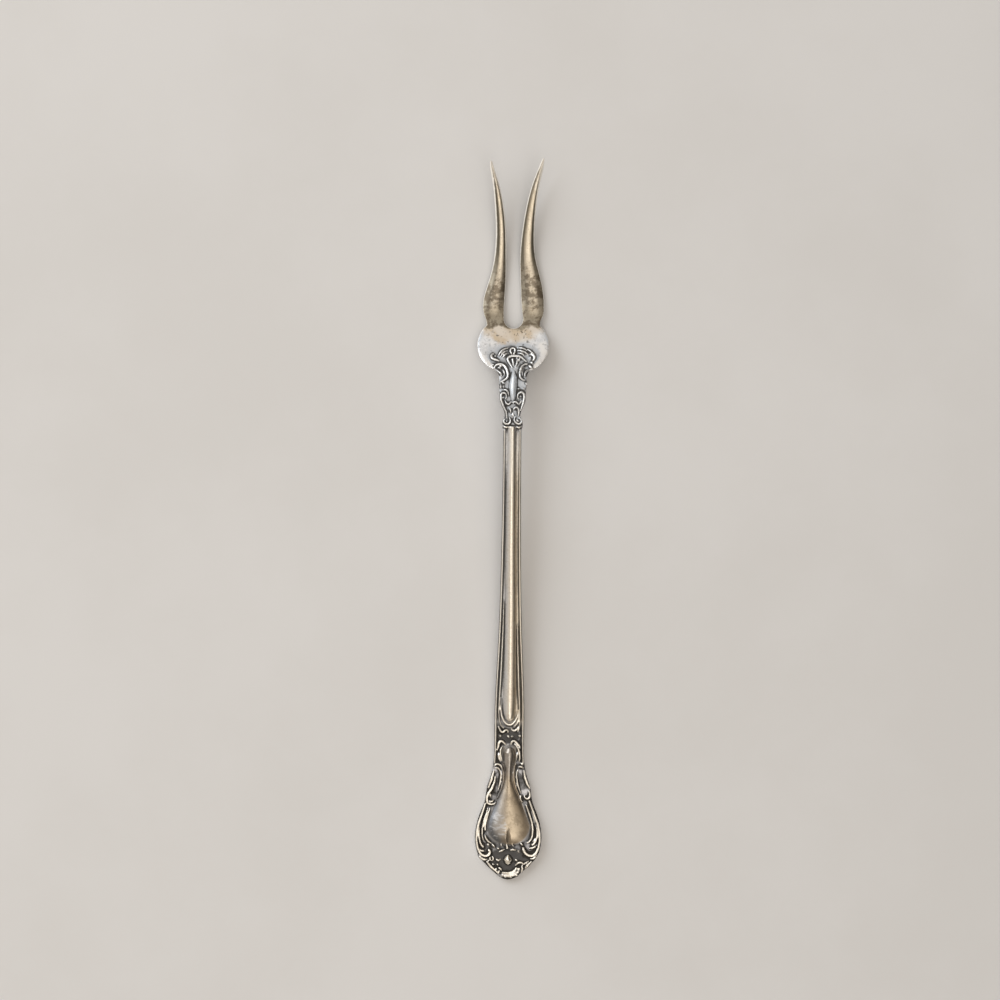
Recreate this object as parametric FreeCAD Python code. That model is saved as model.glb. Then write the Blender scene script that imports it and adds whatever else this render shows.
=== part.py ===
import FreeCAD, Part
import math
import os

# Cocktail fork struck in one piece of silver, lying face up.
# +Y runs from the butt of the handle to the tine tips, +Z is the ornamented face.
# The origin is below the middle of the length, on the plane the fork rests on.

# Lengths of the zones, from the butt to the tine tips
end_length = 31.0
shank_length = 62.7
neck_length = 13.1
shoulder_length = 10.0
tine_length = 33.2

# Widths of the outline
end_width = 13.9
end_top_width = 6.2
shank_width = 3.76
neck_width = 5.0
shoulder_width = 14.9
waist_width = 11.1
root_width = 11.6
crotch_radius = 2.0

# Heights and thicknesses of the side profile
arch_height = 5.0
tip_height = 6.8
butt_lift = 0.35
butt_thickness = 1.35
end_thickness = 1.5
arch_thickness = 1.9
root_thickness = 1.5
tip_thickness = 0.7
tine_bevel = 0.2

# Relief that stands on the sunk ground of the face
rim_width = 0.8
rim_height = 0.44
edge_land = 0.04
shank_rim_width = 0.46
rib_height = 0.7
thread_width = 0.6
side_thread_width = 0.46
thread_height = 0.36
scroll_width = 0.78
scroll_height = 0.46
ribbon_width = 1.25
pellet_radius = 0.34
pellet_height = 0.42
bud_radius = 1.08
bud_height = 0.9
cartouche_height = 0.95
cleft_width = 2.0
spindle_height = 0.7
root_depth = 0.3

# Stations of the zones along Y
fork_length = end_length + shank_length + neck_length + shoulder_length + tine_length
butt_y = -fork_length / 2
shank_y = butt_y + end_length
neck_y = shank_y + shank_length
shoulder_y = neck_y + neck_length
root_y = shoulder_y + shoulder_length


class Zone:
    """A stretch of the fork that carries a pattern drawn in millimetres.

    The pattern is drawn at its distance from the butt, on a zone of the drawn
    length and width, and grows with the zone when the sizes above change.
    """

    def __init__(self, start_y, drawn_start, stretch, spread):
        self.start_y = start_y
        self.drawn_start = drawn_start
        self.stretch = stretch
        self.spread = spread

    def at(self, x, from_butt):
        """Return the place in the plan of one drawn point."""
        return x * self.spread, self.start_y + (from_butt - self.drawn_start) * self.stretch


end_zone = Zone(butt_y, 0.0, end_length / 31.0, end_width / 13.9)
link_zone = Zone(shank_y, 31.0, shank_length / 62.7, end_top_width / 6.2)
neck_zone = Zone(neck_y, 93.7, neck_length / 13.1, neck_width / 5.0)
shoulder_zone = Zone(shoulder_y, 106.8, shoulder_length / 10.0, shoulder_width / 14.9)


def point(x, y, z=0.0):
    """Return a point or a direction."""
    return FreeCAD.Vector(x, y, z)


def smooth_curve(points):
    """Return a smooth curve through the points."""
    curve = Part.BSplineCurve()
    curve.interpolate(points)
    return curve


def parameter_at(curve, y):
    """Return the parameter where a curve that runs along +Y reaches y."""
    low, high = curve.FirstParameter, curve.LastParameter
    for _ in range(40):
        middle = (low + high) / 2
        if curve.value(middle).y < y:
            low = middle
        else:
            high = middle
    return (low + high) / 2


def handle_outline():
    """Return the half outline of the handle from beside the butt to the neck."""
    half = end_width / 2
    drawn = [(0.26, 0.6), (0.48, 1.9), (0.69, 3.3), (0.885, 5.0), (0.975, 7.0), (1.0, 8.8),
             (0.96, 11.2), (0.84, 14.0), (0.725, 16.0), (0.682, 17.6), (0.65, 19.2),
             (0.555, 21.2)]
    side = [point(share * half, butt_y + along * end_length / 31.0) for share, along in drawn]
    side.append(point(end_top_width / 2 + 0.06, shank_y - end_length * 0.2))
    side.append(point(end_top_width / 2, shank_y))
    for part, share in ((0.27, 0.57), (0.6, 0.13), (0.85, 0.02), (1.0, 0.0)):
        width = shank_width + (end_top_width - shank_width) * share
        side.append(point(width / 2, shank_y + part * shank_length))
    return smooth_curve(side)


def neck_outline():
    """Return the half outline of the neck, from the shank to the shoulder."""
    drawn = [(2.12, 94.9), (1.62, 96.5), (2.0, 98.0), (2.65, 99.7), (2.7, 101.3),
             (2.85, 103.2), (2.85, 104.7), (3.7, 106.0)]
    side = [point(shank_width / 2, neck_y)]
    side += [point(*neck_zone.at(x, along)) for x, along in drawn]
    return smooth_curve(side)


def shoulder_start():
    """Return the place beside the neck where the shoulder swells out."""
    return point(*neck_zone.at(3.7, 106.0))


def waist_point():
    """Return the narrowest place of the head, just below the tine roots."""
    return point(waist_width / 2, root_y - shoulder_length * 0.14)


handle_side = handle_outline()
neck_side = neck_outline()


def back_curve():
    """Return the back of the fork in side view, from the end's flat to the heel."""
    drop = arch_height
    points = [
        point(0, butt_y + end_length * 0.45, 0),
        point(0, shank_y, drop * 0.14),
        point(0, shank_y + shank_length * 0.46, drop * 0.57),
        point(0, shank_y + shank_length * 0.85, drop * 0.93),
        point(0, neck_y + neck_length * 0.2, drop),
        point(0, neck_y + neck_length * 0.75, drop * 0.82),
        point(0, shoulder_y + shoulder_length * 0.3, drop * 0.4),
        point(0, root_y - shoulder_length * 0.2, drop * 0.07),
        point(0, root_y, 0),
    ]
    return smooth_curve(points)


back_side = back_curve()
flat_end_y = back_side.value(back_side.FirstParameter).y


def back_z(y):
    """Return the height of the back below the zones up to the tine roots."""
    if y <= flat_end_y:
        return 0.0
    return back_side.value(parameter_at(back_side, y)).z


def ground_curve():
    """Return the sunk ground of the face in side view."""
    stations = [
        (butt_y, butt_thickness),
        (butt_y + end_length * 0.2, end_thickness),
        (flat_end_y, end_thickness),
        (shank_y, end_thickness),
        (shank_y + shank_length * 0.46, end_thickness),
        (shank_y + shank_length * 0.85, arch_thickness),
        (neck_y + neck_length * 0.2, arch_thickness),
        (neck_y + neck_length * 0.75, arch_thickness),
        (shoulder_y + shoulder_length * 0.3, root_thickness),
        (root_y - shoulder_length * 0.2, root_thickness),
        (root_y, root_thickness),
    ]
    return smooth_curve([point(0, y, back_z(y) + thickness) for y, thickness in stations])


ground_side = ground_curve()


def ground_z(y):
    """Return the height of the sunk ground of the face."""
    return ground_side.value(parameter_at(ground_side, y)).z


def half_width(y):
    """Return half the width of the handle's outline."""
    return handle_side.value(parameter_at(handle_side, y)).x


def plan_face():
    """Return the outline of the fork up to the tine roots, seen from above."""
    butt_side = handle_side.value(handle_side.FirstParameter)
    butt = Part.Arc(point(-butt_side.x, butt_side.y), point(0, butt_y), butt_side)
    swell = point(shoulder_width / 2, shoulder_y + shoulder_length * 0.42)
    shoulder = Part.Arc(shoulder_start(), swell, waist_point())
    hip = smooth_curve([waist_point(), point(waist_width / 2 + 0.05, root_y - 0.7),
                        point(root_width / 2, root_y)])
    right = [handle_side, neck_side, shoulder, hip]
    crotch = Part.Arc(point(crotch_radius, root_y), point(0, root_y - crotch_radius),
                      point(-crotch_radius, root_y))
    edges = [butt.toShape()]
    edges += [curve.toShape() for curve in right]
    edges.append(Part.makeLine(point(root_width / 2, root_y), point(crotch_radius, root_y)))
    edges.append(crotch.toShape())
    edges.append(Part.makeLine(point(-crotch_radius, root_y), point(-root_width / 2, root_y)))
    edges += [curve.toShape().mirror(point(0, 0), point(1, 0)) for curve in reversed(right)]
    return Part.Face(Part.Wire(Part.__sortEdges__(edges)))


def side_face():
    """Return the side profile up to the tine roots, run out past the butt."""
    toe = butt_y - butt_thickness
    lift_y = butt_y + end_length * 0.07
    root_low = point(0, root_y, 0)
    root_high = point(0, root_y, root_thickness)
    edges = [
        Part.makeLine(point(0, lift_y), point(0, flat_end_y)),
        back_side.toShape(),
        Part.makeLine(root_low, root_high),
        ground_side.toShape(),
        Part.makeLine(point(0, butt_y, butt_thickness), point(0, toe, butt_thickness)),
        Part.makeLine(point(0, toe, butt_thickness), point(0, toe, butt_lift)),
        Part.makeLine(point(0, toe, butt_lift), point(0, butt_y, butt_lift)),
        Part.makeLine(point(0, butt_y, butt_lift), point(0, lift_y)),
    ]
    return Part.Face(Part.Wire(Part.__sortEdges__(edges)))


def plate():
    """Return the plain plate of handle, neck and shoulder without its relief."""
    tall = arch_height + tip_height + arch_thickness
    plan = plan_face().extrude(point(0, 0, 2 * tall))
    plan.translate(point(0, 0, -tall / 2))
    wide = end_width + shoulder_width
    side = side_face().extrude(point(2 * wide, 0))
    side.translate(point(-wide, 0))
    return plan.common(side).Solids[0]


def stations_along(path, stride, turn):
    """Return parameters spaced so that a stride or a turn lies between neighbours."""
    first, last = path.FirstParameter, path.LastParameter
    steps = [first + (last - first) * step / 200 for step in range(201)]
    effort = [0.0]
    for behind, ahead in zip(steps, steps[1:]):
        moved = path.value(ahead).distanceToPoint(path.value(behind))
        turned = path.tangent(ahead)[0].getAngle(path.tangent(behind)[0])
        effort.append(effort[-1] + moved / stride + turned / turn)
    count = max(2, math.ceil(effort[-1]))
    goals = [effort[-1] * step / count for step in range(count + 1)]
    return [min(zip(effort, steps), key=lambda pair: abs(pair[0] - goal))[1] for goal in goals]


def ridge(path, width, height, ends):
    """Return a raised strand along a plan curve, sunk into the ground."""
    first, last = path.FirstParameter, path.LastParameter
    sections = []
    for parameter in stations_along(path, 3.0, 0.55):
        share = (parameter - first) / (last - first)
        place = path.value(parameter)
        direction = path.tangent(parameter)[0]
        grow = 1 + (ends[0] - 1) * max(0, 1 - share / 0.35)
        grow += (ends[1] - 1) * max(0, 1 - (1 - share) / 0.35)
        half = min(width * grow / 2, 0.8 / max(path.curvature(parameter), 0.01))
        across = point(-direction.y, direction.x) * half
        ground = ground_z(place.y)
        low = point(place.x, place.y, ground - root_depth)
        high = point(place.x, place.y, ground + height * min(grow, 1.15))
        crest = across * 0.52
        sections.append(Part.makePolygon([low - across, low + across, high + crest,
                                          high - crest, low - across]))
    return Part.makeLoft(sections, True, True)


def strand(zone, drawn, width=scroll_width, height=scroll_height, ends=(0.55, 0.55)):
    """Return a strand of the relief through points of the drawn pattern."""
    path = smooth_curve([point(*zone.at(x, along)) for x, along in drawn])
    return ridge(path, width, height, ends)


def fine(zone, drawn, ends=(0.5, 0.5)):
    """Return a thin strand of the relief."""
    return strand(zone, drawn, thread_width, thread_height, ends)


def pellet(zone, x, along, size=1.0):
    """Return a small raised pellet."""
    across, y = zone.at(x, along)
    ground = ground_z(y)
    rings = []
    top = ground + pellet_height * size
    for reach, z in ((1.1, ground - root_depth), (1.0, ground), (0.45, top)):
        corners = [point(across + pellet_radius * size * reach * math.cos(math.pi * corner / 4),
                         y + pellet_radius * size * reach * math.sin(math.pi * corner / 4), z)
                   for corner in range(9)]
        rings.append(Part.makePolygon(corners))
    return Part.makeLoft(rings, True, True)


def crowned_section(y, left, right, low, edge, top, bevel=0.0, breaks=(0.3, 0.7)):
    """Return a section across the fork: a flat foot, upright sides and a crowned top."""
    middle = (left + right) / 2
    half = (right - left) / 2
    corners = [point(left + bevel, y, low)] if bevel else []
    corners += [point(left, y, low + bevel), point(left, y, edge)]
    for share in [-share for share in reversed(breaks)] + list(breaks):
        corners.append(point(middle + share * half, y, edge + (top - edge) * (1 - share ** 2)))
    corners += [point(right, y, edge), point(right, y, low + bevel)]
    if bevel:
        corners.append(point(right - bevel, y, low))
    return Part.makePolygon(corners + corners[:1])


def crowned_bar(stations, ruled):
    """Return a bar along Y with a domed face from (y, left, right, rise) stations."""
    sections = []
    for y, left, right, rise in stations:
        ground = ground_z(y)
        sections.append(crowned_section(y, left, right, ground - root_depth, ground - 0.05,
                                        ground + rise, 0.0, (0.12, 0.4, 0.65, 0.86)))
    return Part.makeLoft(sections, True, ruled)


def zone_bar(zone, drawn, height, ruled=True):
    """Return a crowned bar from (from_butt, left, right, share of height) stations."""
    stations = []
    for along, left, right, share in drawn:
        first, y = zone.at(left, along)
        second = zone.at(right, along)[0]
        stations.append((y, first, second, height * share))
    return crowned_bar(stations, ruled)


def tine(drawn):
    """Return one tine from (from_butt, left, right) stations above its root section."""
    tine_zone = Zone(root_y, 116.8, tine_length / 33.2, root_width / 11.6)
    side = 1 if drawn[0][1] > 0 else -1
    roots = sorted((side * crotch_radius, side * root_width / 2))
    stations = [(root_y, roots[0], roots[1])]
    for along, left, right in drawn:
        first, y = tine_zone.at(left, along)
        stations.append((y, first, tine_zone.at(right, along)[0]))
    sections = []
    for y, left, right in stations:
        share = (y - root_y) / tine_length
        back = tip_height * share ** 2.3
        thick = root_thickness + (tip_thickness - root_thickness) * share
        crown = min(0.03 + share * 3, 0.45) * thick
        bevel = min(0.02 + share * 2, tine_bevel, (right - left) / 4)
        sections.append(crowned_section(y, left, right, back, back + thick - crown,
                                        back + thick, bevel))
    return Part.makeLoft(sections, True, False)


def tines():
    """Return the two tines, which taper, bow out at the tips and rise."""
    left = [(118.7, -6.36, -2.02), (120.8, -6.3, -1.9), (125.0, -5.1, -1.65),
            (129.1, -4.2, -1.59), (135.4, -3.84, -1.75), (141.6, -4.21, -2.54),
            (145.8, -4.75, -3.6), (147.9, -5.15, -4.3), (149.0, -5.2, -4.65),
            (149.4, -5.15, -4.85)]
    right = [(118.7, 1.75, 6.34), (120.8, 1.55, 6.32), (125.0, 1.38, 5.65),
             (129.1, 1.23, 4.57), (135.4, 1.69, 4.19), (141.6, 2.77, 4.65),
             (145.8, 4.0, 5.37), (148.4, 5.03, 5.95), (149.6, 5.55, 6.05),
             (150.0, 5.8, 6.05)]
    return [tine(left), tine(right)]


def edge_rim(side, start_y, end_y, ends):
    """Return a rim bead that follows one edge of the shank's outline."""
    count = 12
    places = []
    for step in range(count + 1):
        y = start_y + (end_y - start_y) * step / count
        places.append(point(side * (half_width(y) - edge_land - shank_rim_width / 2), y))
    return ridge(smooth_curve(places), shank_rim_width, rim_height, ends)


def shank_rims():
    """Return the two rim beads that follow the edges of the shank."""
    start_y = butt_y + end_length * 0.78
    return [edge_rim(side, start_y, neck_y, (0.7, 0.6)) for side in (-1, 1)]


def shank_rib():
    """Return the crowned rib along the middle of the shank, round at its foot."""
    drawn = [(33.0, -0.35, 0.35, 0.3), (33.5, -0.95, 0.95, 0.75), (34.6, -1.28, 1.28, 1.0),
             (37.5, -1.42, 1.42, 1.0), (45.0, -1.3, 1.4, 1.0), (56.0, -1.2, 1.3, 0.95),
             (68.0, -1.26, 1.14, 0.9), (82.0, -1.16, 1.04, 0.9), (94.3, -1.06, 0.98, 0.85)]
    return [zone_bar(link_zone, drawn, rib_height)]


def shank_threads():
    """Return the strands that rise beside the rib and the U-shaped thread at its foot."""
    loop = [(-1.84, 38.0), (-1.86, 36.5), (-1.72, 34.7), (-1.2, 33.1), (-0.5, 32.4),
            (0.05, 32.25), (0.6, 32.4), (1.2, 33.0), (1.68, 34.0), (1.86, 35.4)]
    left = [(-1.15, 31.5), (-1.7, 32.1), (-2.05, 33.0), (-2.22, 34.6), (-2.16, 37.0),
            (-2.0, 40.0), (-1.86, 43.0), (-1.7, 47.0), (-1.56, 51.0), (-1.46, 55.0),
            (-1.42, 58.0)]
    right = [(1.7, 30.75), (2.05, 31.4), (2.14, 32.8), (2.12, 35.0), (2.0, 38.0),
             (1.86, 41.0), (1.72, 45.0), (1.58, 49.0), (1.5, 53.0)]
    return [
        fine(link_zone, loop),
        strand(link_zone, left, side_thread_width, scroll_height),
        strand(link_zone, right, side_thread_width, scroll_height),
        fine(link_zone, [(2.0, 34.5), (1.9, 33.2), (1.5, 32.4), (1.0, 31.9)]),
    ]


def link_scrolls():
    """Return the small scrolls and pellets between the shank and the cartouche."""
    return [
        strand(end_zone, [(-2.35, 32.0), (-1.95, 31.2), (-1.4, 30.7), (-1.0, 30.95),
                          (-0.62, 31.22), (-0.28, 31.0), (-0.35, 30.6)], thread_width),
        fine(end_zone, [(1.85, 31.9), (1.4, 31.2), (0.88, 31.05), (0.45, 31.5)]),
        pellet(end_zone, -1.83, 29.93),
        pellet(end_zone, 2.17, 29.95),
        fine(end_zone, [(-0.35, 30.05), (0.05, 29.55)]),
        fine(end_zone, [(0.35, 29.85), (0.85, 29.75)]),
    ]


def cartouche_arches():
    """Return the strands that arch over the tip of the cartouche."""
    return [
        strand(end_zone, [(-0.65, 28.1), (-1.1, 28.55), (-1.65, 28.9), (-2.1, 28.5),
                          (-2.3, 27.7), (-2.5, 26.9)]),
        strand(end_zone, [(-1.25, 27.8), (-1.7, 27.2), (-1.8, 26.4), (-1.7, 25.6),
                          (-1.4, 24.9), (-1.15, 24.3)], thread_width),
        fine(end_zone, [(-2.2, 26.5), (-2.2, 25.8), (-2.0, 25.1), (-1.65, 24.5)]),
        strand(end_zone, [(0.45, 28.1), (0.65, 28.8), (1.0, 28.95), (1.5, 28.55),
                          (2.0, 28.05), (2.35, 27.3)]),
        strand(end_zone, [(1.0, 28.3), (1.5, 27.9), (1.95, 27.2), (2.2, 26.2),
                          (2.25, 25.2), (2.1, 24.6)], thread_width),
        fine(end_zone, [(1.95, 26.8), (1.65, 26.2), (1.62, 25.4), (1.55, 24.9)]),
    ]


def cartouche():
    """Return the plain domed drop in the middle of the end, cleft at its foot."""
    drawn = [(7.3, -1.6, 2.9, 0.12), (7.8, -3.1, 3.6, 0.5), (8.6, -3.9, 4.15, 0.82),
             (9.5, -4.3, 4.45, 0.96), (10.6, -4.45, 4.55, 1.0), (11.7, -4.3, 4.35, 1.0),
             (13.2, -3.8, 3.85, 1.0), (15.0, -3.05, 3.1, 0.97), (17.0, -2.25, 2.3, 0.9),
             (19.0, -1.45, 1.45, 0.8), (21.0, -0.9, 0.9, 0.75), (23.0, -0.85, 0.88, 0.78),
             (25.0, -1.2, 1.3, 0.92), (26.4, -1.25, 1.4, 0.92), (27.3, -0.75, 0.9, 0.6),
             (27.6, -0.2, 0.4, 0.25)]
    drop = zone_bar(end_zone, drawn, cartouche_height)
    wedges = []
    cleft = [(11.6, 0.08, 0.04), (10.4, 0.45, 0.24), (9.3, 0.8, 0.48), (8.2, 1.15, 0.75),
             (6.4, 1.6, 1.15)]
    for along, opening, depth in cleft:
        x, y = end_zone.at(0.0, along)
        top = ground_z(y) + cartouche_height * 1.3
        low = ground_z(y) + cartouche_height * (1.02 - depth)
        half = cleft_width / 2 * opening
        wedges.append(Part.makePolygon([point(x - half, y, top), point(x, y, low),
                                        point(x + half, y, top), point(x - half, y, top)]))
    return [drop.cut(Part.makeLoft(wedges, True, True))]


def ears():
    """Return the two scrolled ears between the cartouche and the rims."""
    left = [
        strand(end_zone, [(-2.95, 23.7), (-2.4, 24.05), (-1.8, 23.85), (-1.35, 23.2),
                          (-1.1, 22.2), (-1.05, 21.2), (-1.2, 20.0), (-1.55, 18.8),
                          (-2.0, 17.7), (-2.35, 16.9)], scroll_width, scroll_height * 1.1),
        fine(end_zone, [(-2.8, 23.2), (-2.3, 23.25), (-1.85, 22.8), (-1.6, 22.0),
                        (-1.65, 21.0), (-1.85, 19.8), (-2.2, 18.5)]),
        strand(end_zone, [(-3.1, 22.6), (-3.4, 21.4), (-3.8, 20.3), (-4.25, 19.0)]),
        strand(end_zone, [(-2.8, 21.6), (-2.85, 20.8), (-3.2, 19.6), (-3.65, 18.7),
                          (-4.2, 17.9), (-4.48, 17.2), (-4.5, 16.4), (-4.25, 15.85),
                          (-3.6, 15.65), (-2.9, 15.8), (-2.55, 16.25)]),
        fine(end_zone, [(-4.15, 16.5), (-3.8, 16.2), (-3.35, 16.3), (-3.1, 16.65)]),
        fine(end_zone, [(-3.95, 18.0), (-3.75, 17.5), (-3.85, 17.05)]),
    ]
    right = [
        strand(end_zone, [(1.5, 24.3), (1.2, 23.7), (1.05, 22.7), (0.98, 21.7),
                          (1.1, 20.6), (1.35, 19.5), (1.75, 18.4), (2.25, 17.4)],
               scroll_width, scroll_height * 1.1),
        fine(end_zone, [(1.95, 22.9), (1.65, 22.3), (1.65, 21.2), (1.8, 20.1),
                        (2.15, 18.9), (2.55, 17.9)]),
        strand(end_zone, [(1.95, 23.4), (2.55, 23.55), (3.05, 23.2)], thread_width),
        fine(end_zone, [(2.45, 24.35), (2.95, 23.85)]),
        strand(end_zone, [(3.15, 22.8), (3.28, 21.8), (3.6, 20.6), (4.05, 19.6),
                          (4.45, 19.0)]),
        strand(end_zone, [(2.65, 17.6), (2.45, 17.1), (2.6, 16.5), (3.05, 16.25)],
               thread_width),
        strand(end_zone, [(3.4, 17.6), (3.45, 17.05), (3.9, 16.85), (4.35, 17.15),
                          (4.45, 17.8), (4.25, 18.5)], thread_width),
    ]
    return left + right


def end_volutes():
    """Return the rims of the end, which curl in at its lower corners, and their bands."""
    left = [
        strand(end_zone, [(-4.78, 15.9), (-5.28, 14.2), (-5.76, 12.9), (-6.22, 11.5),
                          (-6.52, 10.0), (-6.6, 8.6), (-6.48, 7.3), (-6.2, 6.2),
                          (-5.75, 5.4), (-5.15, 4.95), (-4.5, 4.9), (-3.98, 5.18),
                          (-3.78, 5.65)], rim_width * 0.85, scroll_height * 1.1, (0.8, 1.2)),
        strand(end_zone, [(-3.75, 5.5), (-3.88, 6.0), (-4.15, 6.2)], rim_width,
               scroll_height * 1.2, (1.1, 0.8)),
        strand(end_zone, [(-5.72, 12.3), (-6.0, 11.2), (-6.1, 10.0), (-6.06, 8.8),
                          (-5.88, 7.9), (-5.55, 7.15), (-5.05, 6.7)], thread_width,
               scroll_height, (0.5, 1.15)),
        fine(end_zone, [(-4.25, 14.9), (-4.7, 13.4), (-5.1, 12.0), (-5.36, 10.9),
                        (-5.45, 9.9), (-5.4, 8.9), (-5.1, 8.0)]),
        fine(end_zone, [(-3.82, 14.9), (-4.28, 13.3), (-4.66, 12.0), (-4.84, 10.9),
                        (-4.78, 10.2)], (0.5, 1.1)),
        strand(end_zone, [(-6.2, 6.6), (-5.92, 6.2), (-5.5, 5.95), (-4.95, 5.95)],
               thread_width, scroll_height, (0.8, 0.8)),
        strand(end_zone, [(-6.2, 5.25), (-5.78, 4.62), (-5.25, 4.25), (-4.65, 4.12),
                          (-4.1, 4.35)]),
        strand(end_zone, [(-4.4, 7.35), (-3.85, 7.1)]),
        fine(end_zone, [(-4.85, 9.3), (-4.6, 8.5), (-4.05, 7.85), (-3.4, 7.45)]),
    ]
    right = [
        strand(end_zone, [(4.3, 16.5), (4.8, 15.1), (5.3, 13.8), (5.84, 12.4),
                          (6.28, 11.1), (6.52, 9.9), (6.6, 8.6), (6.48, 7.3), (6.18, 6.2),
                          (5.68, 5.42), (5.05, 5.0), (4.38, 5.02), (3.78, 5.35),
                          (3.36, 5.9)], rim_width * 0.85, scroll_height * 1.1, (0.8, 1.25)),
        strand(end_zone, [(3.45, 5.75), (3.2, 6.3), (3.15, 6.75)], rim_width,
               scroll_height * 1.2, (1.2, 0.8)),
        strand(end_zone, [(5.66, 12.0), (5.96, 10.9), (6.08, 9.9), (6.04, 9.0),
                          (5.84, 8.2), (5.45, 7.55), (4.9, 7.2)], thread_width,
               scroll_height, (0.5, 0.9)),
        strand(end_zone, [(3.65, 15.6), (4.15, 14.2), (4.65, 12.9), (5.0, 11.6),
                          (5.12, 10.4), (5.05, 9.3), (4.82, 8.5), (4.4, 7.92),
                          (3.9, 7.65)], thread_width * 1.1, scroll_height),
        fine(end_zone, [(4.72, 14.3), (5.16, 13.0), (5.5, 11.8), (5.62, 10.8)]),
        fine(end_zone, [(5.7, 8.8), (5.42, 8.2), (5.0, 7.8)]),
        strand(end_zone, [(6.0, 7.35), (5.55, 6.85), (5.0, 6.58), (4.3, 6.52)],
               thread_width, scroll_height),
        strand(end_zone, [(6.16, 5.35), (5.72, 4.75), (5.2, 4.4), (4.55, 4.4)],
               thread_width, scroll_height),
    ]
    return left + right


def bottom_shell():
    """Return the folded ribbon, rims and leaves around the butt."""
    return [
        strand(end_zone, [(-1.3, 0.95), (-0.6, 0.85), (0.2, 0.85), (1.0, 1.0), (1.7, 1.35),
                          (2.2, 1.9), (2.3, 2.45)], ribbon_width, thread_height, (0.6, 0.8)),
        strand(end_zone, [(-1.25, 1.45), (-0.5, 1.36), (0.4, 1.4), (1.1, 1.66),
                          (1.6, 2.1), (1.84, 2.55)], thread_width, scroll_height, (0.7, 0.9)),
        pellet(end_zone, -0.5, 0.62),
        pellet(end_zone, 0.65, 0.58, 1.1),
        pellet(end_zone, 1.8, 0.95, 1.2),
        strand(end_zone, [(2.72, 1.45), (2.98, 2.0), (3.02, 2.6), (2.92, 3.1)],
               thread_width, scroll_height),
        strand(end_zone, [(-4.45, 3.75), (-4.0, 3.15), (-3.5, 2.65), (-2.95, 2.15),
                          (-2.4, 1.65), (-1.9, 1.25)]),
        strand(end_zone, [(3.55, 2.3), (3.9, 2.8), (4.4, 3.3), (4.95, 3.85)]),
        strand(end_zone, [(1.5, 2.9), (1.95, 3.35), (2.5, 3.6), (3.05, 3.45), (3.3, 3.0)],
               thread_width, scroll_height),
        strand(end_zone, [(3.2, 3.1), (3.8, 3.5), (4.45, 3.95)], thread_width),
        strand(end_zone, [(-2.05, 2.5), (-1.55, 2.25), (-1.25, 1.8)], thread_width,
               scroll_height),
        fine(end_zone, [(-1.9, 1.95), (-1.7, 1.45)]),
        pellet(end_zone, -2.4, 2.2, 0.9),
        pellet(end_zone, -2.15, 3.1),
        fine(end_zone, [(-3.3, 3.3), (-2.8, 2.95)]),
        fine(end_zone, [(-4.15, 4.0), (-3.9, 3.75)]),
    ]


def bud():
    """Return the faceted bud above the butt with its leaves and the pierced almond."""
    x, y = end_zone.at(0.0, 4.1)
    foot = ground_z(y) - root_depth
    corners = [(0.0, 1.2), (0.7, 0.6), (0.95, 0.0), (0.55, -0.8), (0.0, -1.1)]
    corners += [(-across, along) for across, along in reversed(corners[1:-1])]
    wires = []
    for size, z in ((1.0, foot), (0.85, foot + root_depth + bud_height * 0.35),
                    (0.2, foot + root_depth + bud_height)):
        loop = [point(x + across * bud_radius * size, y + along * bud_radius * size, z)
                for across, along in corners]
        wires.append(Part.makePolygon(loop + loop[:1]))
    almond = [(-3.4, 4.9), (-3.75, 4.35), (-3.4, 3.8), (-3.05, 4.35), (-3.35, 4.88)]
    return [
        Part.makeLoft(wires, True, True),
        fine(end_zone, [(-2.5, 4.35), (-2.1, 3.98), (-1.5, 4.25)]),
        fine(end_zone, [(1.45, 4.2), (2.1, 3.85)]),
        fine(end_zone, almond[:3]),
        fine(end_zone, [almond[0], almond[3], almond[2]]),
    ]


def foot_bow():
    """Return the small bow of strands at the foot of the cartouche."""
    return [
        fine(end_zone, [(-0.2, 7.9), (-0.25, 7.1), (-0.15, 6.4)], (0.5, 1.2)),
        fine(end_zone, [(-1.45, 7.6), (-1.4, 6.9)]),
        fine(end_zone, [(-2.3, 6.6), (-1.75, 6.3)]),
        fine(end_zone, [(-1.9, 5.75), (-1.3, 6.0), (-0.7, 6.3)]),
        fine(end_zone, [(0.25, 7.8), (0.8, 7.45), (1.15, 6.9)]),
        fine(end_zone, [(0.45, 6.1), (1.1, 6.25), (1.7, 6.15)]),
        pellet(end_zone, 2.2, 5.9, 0.8),
        strand(end_zone, [(-3.3, 7.35), (-2.7, 6.65)], thread_width),
        strand(end_zone, [(2.6, 7.6), (3.1, 7.1)], thread_width),
    ]


def neck_feet():
    """Return the curled feet of the neck scrolls on top of the shank."""
    return [
        strand(neck_zone, [(-1.5, 95.85), (-1.8, 95.5), (-1.7, 95.05), (-1.2, 94.82),
                           (-0.7, 94.92), (-0.42, 95.35), (-0.48, 95.85), (-0.7, 96.3)],
               thread_width, scroll_height),
        strand(neck_zone, [(0.62, 96.4), (0.38, 95.9), (0.46, 95.35), (0.86, 94.98),
                           (1.38, 94.86), (1.8, 95.1), (1.82, 95.6), (1.5, 95.95)],
               thread_width, scroll_height),
        fine(neck_zone, [(0.85, 95.85), (1.1, 95.48), (1.45, 95.45)]),
        fine(neck_zone, [(-1.35, 95.5), (-1.05, 95.3)]),
        strand(neck_zone, [(-1.8, 94.4), (-1.3, 94.12), (-0.75, 94.35)], thread_width),
        strand(neck_zone, [(0.85, 94.35), (1.35, 94.1), (1.8, 94.4)], thread_width),
    ]


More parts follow.
